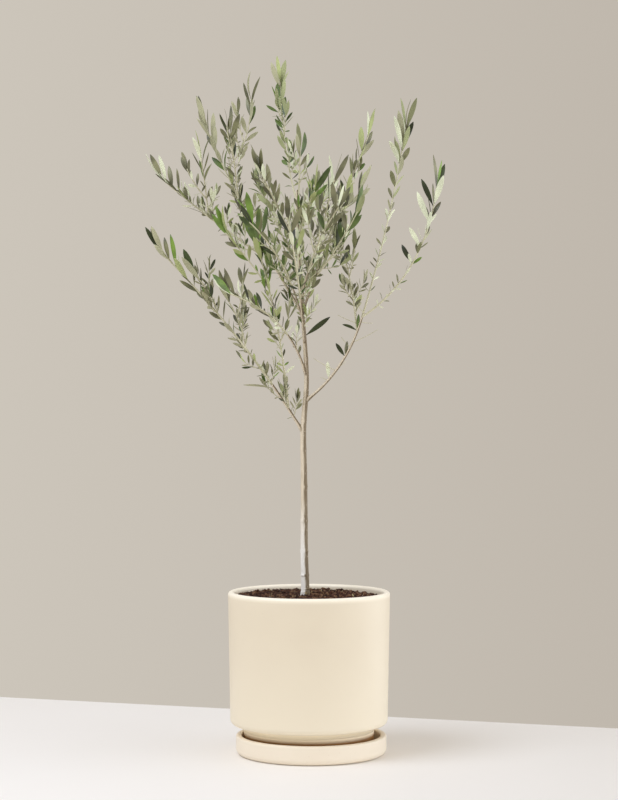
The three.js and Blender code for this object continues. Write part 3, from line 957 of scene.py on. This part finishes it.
PETIOLE = 0.07  # the stalk's share of a leaf's length
PETIOLE_WIDTH = 0.09  # of the blade's half width
LEAF_STATIONS = 9
LEAF_RING = 4
LEAF_THICKNESS = 0.45
WIDEST = {"short": 0.27, "long": 0.17}  # width over length of the shortest and the longest leaf
BLADE_LEAN = 1.12  # over 1, the blade is widest a little past its middle
BLADE_FULLNESS = 0.62  # under 1, its ends are blunt

# The least and the most that single leaves differ by: in width, in the rise of their arch over
# their length, and in the fold along the midrib over their half width.
WIDTHS = (0.85, 1.15)
ARCHES = (-0.03, 0.08)
FOLDS = (-0.3, 0.35)
SEED_OF_BLADES = 77


def blade_half_width(share):
    """Half width over the greatest, for an oblong blade with a short blunt tip, on a stalk."""
    blade = max(0, (share - PETIOLE) / (1 - PETIOLE))
    return max(PETIOLE_WIDTH, sin(pi * blade**BLADE_LEAN) ** BLADE_FULLNESS)


def leaf_mesh(leaf, draw):
    """Rings of four points: one edge, the midrib's upper side, the other edge and its underside."""
    root, direction, face, twist, length, _ = leaf
    across = direction.cross(face).normalized()
    normal = across.cross(direction)
    turn = radians(twist)
    across, normal = across * cos(turn) - normal * sin(turn), across * sin(turn) + normal * cos(turn)
    size_share = (length - STRONG_STEM["shortest"]) / (STRONG_STEM["longest"] - STRONG_STEM["shortest"])
    slimness = mix(WIDEST["short"], WIDEST["long"], max(0, min(1, size_share)))
    half_width = length * slimness / 2 * mix(*WIDTHS, draw())
    arch = length * mix(*ARCHES, draw())
    fold = mix(*FOLDS, draw())
    verts = []
    for k in range(LEAF_STATIONS):
        share = k / (LEAF_STATIONS - 1)
        half = half_width * blade_half_width(share)
        middle = root + direction * (length * share) + normal * (arch * sin(pi * share))
        edge = normal * (half * fold)
        thick = normal * (LEAF_THICKNESS / 2)
        verts += [middle - across * half + edge, middle + thick]
        verts += [middle + across * half + edge, middle - thick]
    faces = [tuple(reversed(range(LEAF_RING)))]
    for k in range(LEAF_STATIONS - 1):
        faces += ring_faces(LEAF_RING * k, LEAF_RING)
    faces.append(tuple(range(len(verts) - LEAF_RING, len(verts))))
    return [tuple(v) for v in verts], faces


UPPER, UNDER = 0, 1
LEAF_FACE_SIDES = [UNDER] + [UPPER, UPPER, UNDER, UNDER] * (LEAF_STATIONS - 1) + [UPPER]


def crease_edges(mesh):
    """The blades' margins are sharp, so that each side shades by itself."""
    ends = np.zeros(len(mesh.edges) * 2, np.int32)
    mesh.edges.foreach_get("vertices", ends)
    a, b = ends.reshape(-1, 2).T
    margin = (abs(a - b) == LEAF_RING) & (a % 2 == 0)
    crease = mesh.attributes.new("sharp_edge", "BOOLEAN", "EDGE")
    crease.data.foreach_set("value", margin)


def add_foliage(masses, lone, bare):
    nodes = ["foliage_" + name for name in masses]
    piece("twigs", joined(twig_meshes(masses, bare)), [green_twig_bark()], nodes)
    draw = seeded(SEED_OF_BLADES)
    for tint in TINTS:
        leaves = [leaf for mass in masses.values() for leaf in mass.leaves if leaf[-1] == tint]
        leaves += [leaf for leaf in lone if leaf[-1] == tint]
        mesh = joined(leaf_mesh(leaf, draw) for leaf in leaves)
        finishes = [olive_leaf_upper(tint), olive_leaf_underside(tint)]
        made = piece("leaves_" + tint, mesh, finishes, nodes, LEAF_FACE_SIDES * len(leaves))
        crease_edges(made.data)


# ------------------------ finishes

# The side that painted light makes pale on the bark: it faces left, towards the soft box.
BARK_PAINTED_LIT_SIDE = (-0.95, -0.3, 0)
BARK_RAGGED = 0.9  # how far the streaks break up the edge of the painted lit side
# Painted light: below these heights the bark's lit side pales to nearly white.
PAINTED_LIT_FOOT = {"full_below": 310, "none_above": 400}

# The sockets of a colour mix, which shares its names with mixes of numbers.
MIX_SHARE, MIX_A, MIX_B, MIX_RESULT = 0, 6, 7, 2


def linear(hex_colour, light=1):
    """An sRGB hex colour as linear red, green, blue and full cover, made lighter or darker."""
    channels = [int(hex_colour[i : i + 2], 16) / 255 for i in (1, 3, 5)]
    channels = [c / 12.92 if c <= 0.04045 else ((c + 0.055) / 1.055) ** 2.4 for c in channels]
    return [*(c * light for c in channels), 1]


def per_metre(size):
    """A pattern's scale from the real size of its features in millimetres."""
    return 1 / (size * MM)


def add_node(owner, kind, inputs, **settings):
    """Adds a node with its settings. An input is a plain value or the output that feeds it."""
    made = owner.node_tree.nodes.new(kind)
    for name, value in settings.items():
        setattr(made, name, value)
    for socket, value in inputs.items():
        if isinstance(value, bpy.types.NodeSocket):
            owner.node_tree.links.new(value, made.inputs[socket])
        else:
            made.inputs[socket].default_value = value
    return made


def new_finish(name):
    """A bare material, and its place on the object in metres."""
    made = bpy.data.materials.new(name)
    made.use_nodes = True
    made.node_tree.nodes.clear()
    return made, add_node(made, "ShaderNodeTexCoord", {}).outputs["Object"]


def faded(owner, value, span, tones, most=1):
    """One tone gives way to the other while the value crosses the span, by this much at most."""
    crossing = {"Value": value, "From Min": span[0], "From Max": span[1], "To Max": most}
    share = add_node(owner, "ShaderNodeMapRange", crossing).outputs["Result"]
    inputs = {MIX_SHARE: share, MIX_A: tones[0], MIX_B: tones[1]}
    return add_node(owner, "ShaderNodeMix", inputs, data_type="RGBA").outputs[MIX_RESULT]


def set_surface(finish, colour, height, depth, **shine):
    """Ends a material: its shader takes the colour, the relief and its depth in millimetres."""
    bump = add_node(finish, "ShaderNodeBump", {"Height": height, "Distance": depth * MM})
    shine = {name.replace("_", " "): value for name, value in shine.items()}
    inputs = {"Base Color": colour, "Normal": bump.outputs["Normal"], **shine}
    shader = add_node(finish, "ShaderNodeBsdfPrincipled", inputs)
    add_node(finish, "ShaderNodeOutputMaterial", {"Surface": shader.outputs["BSDF"]})
    return finish


# Heights between which painted light and shade change the glaze, and the tones below the first and above the
# last.
# Painted bounce light from the table: the glaze is palest low on the wall.
PAINTED_BOUNCE_LOW_WALL = {"from": POT["body_bottom"], "to": 200, "low": "#f1e6cf"}
# Painted light on the foot, which stands in shade under the body.
PAINTED_LIGHT_FOOT = {"from": POT["body_bottom"], "to": POT["body_bottom"] + 1, "low": "#fff2d6"}
# Painted shade: the foot darkens to brown low down, where it stands in the saucer.
PAINTED_SHADE_FOOT = {"from": POT["body_bottom"] - 16, "to": POT["body_bottom"] - 9, "low": "#8a6030"}
# A painted highlight: pale on the rim and the top of its inner wall.
PAINTED_HIGHLIGHT_RIM = {"from": RIM_HEIGHT - 9, "to": RIM_HEIGHT - 1.5, "high": "#fff6e3"}
WAVES_OVER_SKIN = 8  # how many times as high the waves of the wheel are as the grain of the skin


def matte_glazed_stoneware(name, tone_a, tone_b, painted_light_bands=()):
    """Thrown stoneware under a matte cream glaze: a broad soft sheen, cream that drifts a little
    over a hand's width, a few specks of iron, and a skin with the slow waves of the wheel. Bands
    by height paint light and shade into it: painted bounce light makes it palest low on the wall,
    painted light fills the foot, painted shade darkens the foot low down in the saucer, and a
    painted highlight lies pale on the rim."""
    finish, place = new_finish(name)
    drift = add_node(finish, "ShaderNodeTexNoise", {"Vector": place, "Scale": per_metre(60), "Detail": 2})
    glaze = faded(finish, drift.outputs["Fac"], (0, 1), (linear(tone_a), linear(tone_b)))
    specks = add_node(finish, "ShaderNodeTexVoronoi", {"Vector": place, "Scale": per_metre(14)})
    iron = (glaze, linear("#b79d77"))
    glaze = faded(finish, specks.outputs["Distance"], (0.06, 0.02), iron, 0.25)
    height = add_node(finish, "ShaderNodeSeparateXYZ", {"Vector": place}).outputs["Z"]
    # Each band fades the glaze by height to a painted lighter or darker tone.
    for change in painted_light_bands:
        low = linear(change["low"]) if "low" in change else glaze
        high = linear(change["high"]) if "high" in change else glaze
        glaze = faded(finish, height, (change["from"] * MM, change["to"] * MM), (low, high))
    skin = add_node(finish, "ShaderNodeTexNoise", {"Vector": place, "Scale": per_metre(1.2), "Detail": 3})
    wave = add_node(finish, "ShaderNodeTexNoise", {"Vector": place, "Scale": per_metre(45), "Detail": 1})
    both = {0: wave.outputs["Fac"], 1: WAVES_OVER_SKIN, 2: skin.outputs["Fac"]}
    relief = add_node(finish, "ShaderNodeMath", both, operation="MULTIPLY_ADD")
    return set_surface(finish, glaze, relief.outputs["Value"], 0.04, Roughness=0.42, IOR=1.5)


def loose_matter(name, tone_a, tone_b, grain):
    """Dry, dull crumbs whose tone changes from grain to grain: no shine at all."""
    finish, place = new_finish(name)
    spots = add_node(finish, "ShaderNodeTexNoise", {"Vector": place, "Scale": per_metre(grain), "Detail": 4})
    colour = faded(finish, spots.outputs["Fac"], (0.4, 0.62), (linear(tone_a), linear(tone_b)))
    return set_surface(finish, colour, spots.outputs["Fac"], 0.6, Roughness=0.95, IOR=1.4)


def moist_peat_soil():
    """Peat and compost: nearly black where moist, brown where the grains have dried."""
    return loose_matter("moist_peat_soil", "#2a1810", "#523120", 4)


def bark_chip():
    """Composted bark in chips: red brown with tan broken faces."""
    return loose_matter("bark_chip", "#4d2f24", "#8a6a4c", 3)


def dry_straw():
    """Fibre from the potting mix, bleached to a dull straw."""
    return loose_matter("dry_straw", "#8f7a50", "#b8a67c", 2)


def expanded_perlite():
    """Volcanic glass puffed to white grains, dusty with peat."""
    return loose_matter("expanded_perlite", "#cfc6b4", "#a8977f", 2)


def young_olive_bark():
    """Smooth young bark in fine upright streaks, with pale corky dots. Painted light makes it cream
    on the side that faces left, towards the soft box, and olive brown on the other, and on that
    painted lit side it pales to nearly white towards the foot."""
    finish, place = new_finish("young_olive_bark")
    stretched = {"Vector": place, "Scale": (1, 1, 0.1)}
    grain = add_node(finish, "ShaderNodeMapping", stretched).outputs["Vector"]
    streaks = add_node(finish, "ShaderNodeTexNoise", {"Vector": grain, "Scale": per_metre(2), "Detail": 5})
    streaks = streaks.outputs["Fac"]
    facing = add_node(finish, "ShaderNodeTexCoord", {}).outputs["Normal"]
    # Painted light: the skin is cream where it faces the lit side and olive brown on the other.
    parts = {0: facing, 1: BARK_PAINTED_LIT_SIDE}
    facing = add_node(finish, "ShaderNodeVectorMath", parts, operation="DOT_PRODUCT").outputs["Value"]
    ragged = {0: streaks, 1: BARK_RAGGED, 2: facing}
    facing = add_node(finish, "ShaderNodeMath", ragged, operation="MULTIPLY_ADD").outputs["Value"]
    span = {"Value": facing, "From Min": 0.5, "From Max": 0.95}
    painted_lit_side = add_node(finish, "ShaderNodeMapRange", span).outputs["Result"]
    skin = faded(finish, painted_lit_side, (0, 1), (linear("#74644b"), linear("#ddcfb8")))
    skin = faded(finish, streaks, (0.45, 0.75), (skin, linear("#8f8166")), 0.45)
    cork = add_node(finish, "ShaderNodeTexVoronoi", {"Vector": place, "Scale": per_metre(5)})
    skin = faded(finish, cork.outputs["Distance"], (0.2, 0.12), (skin, linear("#ddd0bd")), 0.5)
    # Painted light: on the lit side the skin pales to nearly white towards the foot.
    height = add_node(finish, "ShaderNodeSeparateXYZ", {"Vector": place}).outputs["Z"]
    span = {"From Min": PAINTED_LIT_FOOT["none_above"] * MM, "From Max": PAINTED_LIT_FOOT["full_below"] * MM}
    low = add_node(finish, "ShaderNodeMapRange", {"Value": height, **span}).outputs["Result"]
    both = {0: low, 1: painted_lit_side}
    painted_lit_foot = add_node(finish, "ShaderNodeMath", both, operation="MULTIPLY").outputs["Value"]
    skin = faded(finish, painted_lit_foot, (0, 1), (skin, linear("#f3f0ea")))
    return set_surface(finish, skin, streaks, 0.4, Roughness=0.6, IOR=1.45)


def green_twig_bark():
    """This year's wood: thin khaki skin over green, greyer in patches, with a faint wax."""
    finish, place = new_finish("green_twig_bark")
    patches = add_node(finish, "ShaderNodeTexNoise", {"Vector": place, "Scale": per_metre(18), "Detail": 4})
    colour = faded(finish, patches.outputs["Fac"], (0, 1), (linear("#a5a27c"), linear("#ded7bd")))
    skin = add_node(finish, "ShaderNodeTexNoise", {"Vector": place, "Scale": per_metre(2), "Detail": 2})
    return set_surface(finish, colour, skin.outputs["Fac"], 0.05, Roughness=0.6, IOR=1.45)


def olive_leaf(name, colour, change, shine):
    """Leathery blades whose green shifts a little from leaf to leaf and along each one."""
    finish, place = new_finish(name)
    shift = add_node(finish, "ShaderNodeTexNoise", {"Vector": place, "Scale": per_metre(25), "Detail": 1})
    tones = (linear(colour, 1 - change), linear(colour, 1 + change))
    blade = faded(finish, shift.outputs["Fac"], (0.36, 0.64), tones)
    veins = add_node(finish, "ShaderNodeTexNoise", {"Vector": place, "Scale": per_metre(3), "Detail": 2})
    return set_surface(finish, blade, veins.outputs["Fac"], 0.05, IOR=1.45, **shine)


def olive_leaf_upper(tint):
    """The upper side is waxed, so it takes a soft highlight along the blade."""
    return olive_leaf("olive_leaf_upper_" + tint, TINTS[tint][0], 0.4, {"Roughness": 0.42})


def olive_leaf_underside(tint):
    """The underside is felted with tiny silver scales, which scatter the light evenly."""
    return olive_leaf("olive_leaf_underside_" + tint, TINTS[tint][1], 0.1, {"Roughness": 0.85})


def matte_white_laminate():
    """The table top: a matte white board with a barely mottled skin."""
    finish, place = new_finish("matte_white_laminate")
    mottle = add_node(finish, "ShaderNodeTexNoise", {"Vector": place, "Scale": per_metre(300), "Detail": 2})
    colour = faded(finish, mottle.outputs["Fac"], (0, 1), (linear("#f6f2ee"), linear("#f3efea")))
    return set_surface(finish, colour, mottle.outputs["Fac"], 0.1, Roughness=0.6, IOR=1.45)


# ------------------------ table, light and camera

TABLE = {"back_left": (-576, 581), "back_right": (521, 229), "reach": 2600, "thickness": 30}


def add_table():
    """A board whose back edge runs behind the pot, a little out of square with the view."""
    left, right = (Vector((*TABLE[side], 0)) for side in ("back_left", "back_right"))
    along = (right - left).normalized()
    front = Vector((along.y, -along.x, 0)) * TABLE["reach"]
    left, right = left - along * TABLE["reach"], right + along * TABLE["reach"]
    top = [left, left + front, right + front, right]
    down = UP * -TABLE["thickness"]
    verts = [tuple(v) for v in top] + [tuple(v + down) for v in top]
    faces = [(0, 1, 2, 3), (7, 6, 5, 4), (1, 0, 4, 5), (2, 1, 5, 6), (3, 2, 6, 7), (0, 3, 7, 4)]
    mesh = solid_mesh("table", (verts, faces), [matte_white_laminate()])
    in_scene("table", mesh)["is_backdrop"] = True


# The studio's tone changes along each of these directions, over a span of the view's part in it:
# the wall behind the tree, then low wide windows and a ceiling, both beyond the view.
WALL_LEFT = "#ccc5ba"
WALL = {"tone": "#c0b8ad", "light": 1, "towards": (1, 0, 0), "span": (-0.155, 0.155)}
WINDOWS = {"tone": "#f4f8ff", "light": 2.8, "towards": (0.97, -0.25, -0.25), "span": (0.45, 0.98)}
CEILING = {"tone": "#fdf9f5", "light": 0.62, "towards": (0, 0, 1), "span": (0.4, 1)}


def add_wall():
    """A plain greige studio all round that also fills the shade."""
    world = bpy.data.worlds.new("studio")
    world.use_nodes = True
    world.node_tree.nodes.clear()
    view = add_node(world, "ShaderNodeTexCoord", {}).outputs["Generated"]
    colour = linear(WALL_LEFT)
    for side in (WALL, WINDOWS, CEILING):
        parts = {0: view, 1: side["towards"]}
        part = add_node(world, "ShaderNodeVectorMath", parts, operation="DOT_PRODUCT").outputs["Value"]
        colour = faded(world, part, side["span"], (colour, linear(side["tone"], side["light"])))
    light = add_node(world, "ShaderNodeBackground", {"Color": colour}).outputs["Background"]
    add_node(world, "ShaderNodeOutputWorld", {"Surface": light})
    bpy.context.scene.world = world


# A soft box: where it stands and its width in metres, its power in watts and its tint. It faces
# the lit point.
LIGHT = {"place": (-1.25, -0.85, 2.15), "size": 1.6, "power": 35, "colour": (0.8, 0.87, 1)}
LIT_POINT = Vector((0, 0, 0.35))


def add_light():
    light = bpy.data.lights.new("soft_box", "AREA")
    light.shape = "DISK"
    light.size = LIGHT["size"]
    light.energy = LIGHT["power"]
    light.color = LIGHT["colour"]
    made = in_scene("soft_box", light)
    made.location = LIGHT["place"]
    made.rotation_euler = (LIT_POINT - made.location).to_track_quat("-Z", "Y").to_euler()


# It looks level at the tree: its distance and height in metres, and its lens in millimetres.
CAMERA = {"distance": 3.09, "height": 0.554, "lens": 88.56}


def add_camera():
    camera = bpy.data.cameras.new("camera")
    camera.lens = CAMERA["lens"]
    made = in_scene("camera", camera)
    made.location = (0, -CAMERA["distance"], CAMERA["height"])
    made.rotation_euler = (pi / 2, 0, 0)
    bpy.context.scene.camera = made
    bpy.context.scene.view_settings.view_transform = "Standard"


# ------------------------ the plant


def add_pot():
    # The glaze's bands of painted light and shade.
    painted_light_bands = (PAINTED_BOUNCE_LOW_WALL, PAINTED_LIGHT_FOOT, PAINTED_SHADE_FOOT, PAINTED_HIGHLIGHT_RIM)
    pot_glaze = matte_glazed_stoneware("matte_glazed_stoneware", "#eadec6", "#e4d7c0", painted_light_bands)
    piece("glazed_pot", pot_mesh(), [pot_glaze], ["pot"])
    saucer_glaze = matte_glazed_stoneware("matte_glazed_saucer", "#f6ebd8", "#f2e6d2")
    piece("glazed_saucer", saucer_mesh(), [saucer_glaze], ["saucer"])


def add_soil(trunk):
    peat = moist_peat_soil()
    piece("peat_bed", soil_mesh(), [peat], ["soil"])
    finishes = (peat, bark_chip(), dry_straw(), expanded_perlite())
    for (name, plan), finish in zip(LOOSE.items(), finishes):
        piece(name, scattered_crumbs(trunk, *plan), [finish])


add_camera()
add_wall()
add_light()
add_table()
add_pot()
trunk = trunk_limb()
add_soil(trunk)
shoots = grow_shoots(trunk)
add_wood(trunk, shoots)
masses = grow_masses(trunk, shoots)
add_foliage(masses, list(lone_leaves(trunk, shoots)), bare_twigs(shoots))

boxes = {"cad": CAD_BOX, "visual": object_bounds()}
{name: [list(corner) for corner in box] for name, box in boxes.items()}
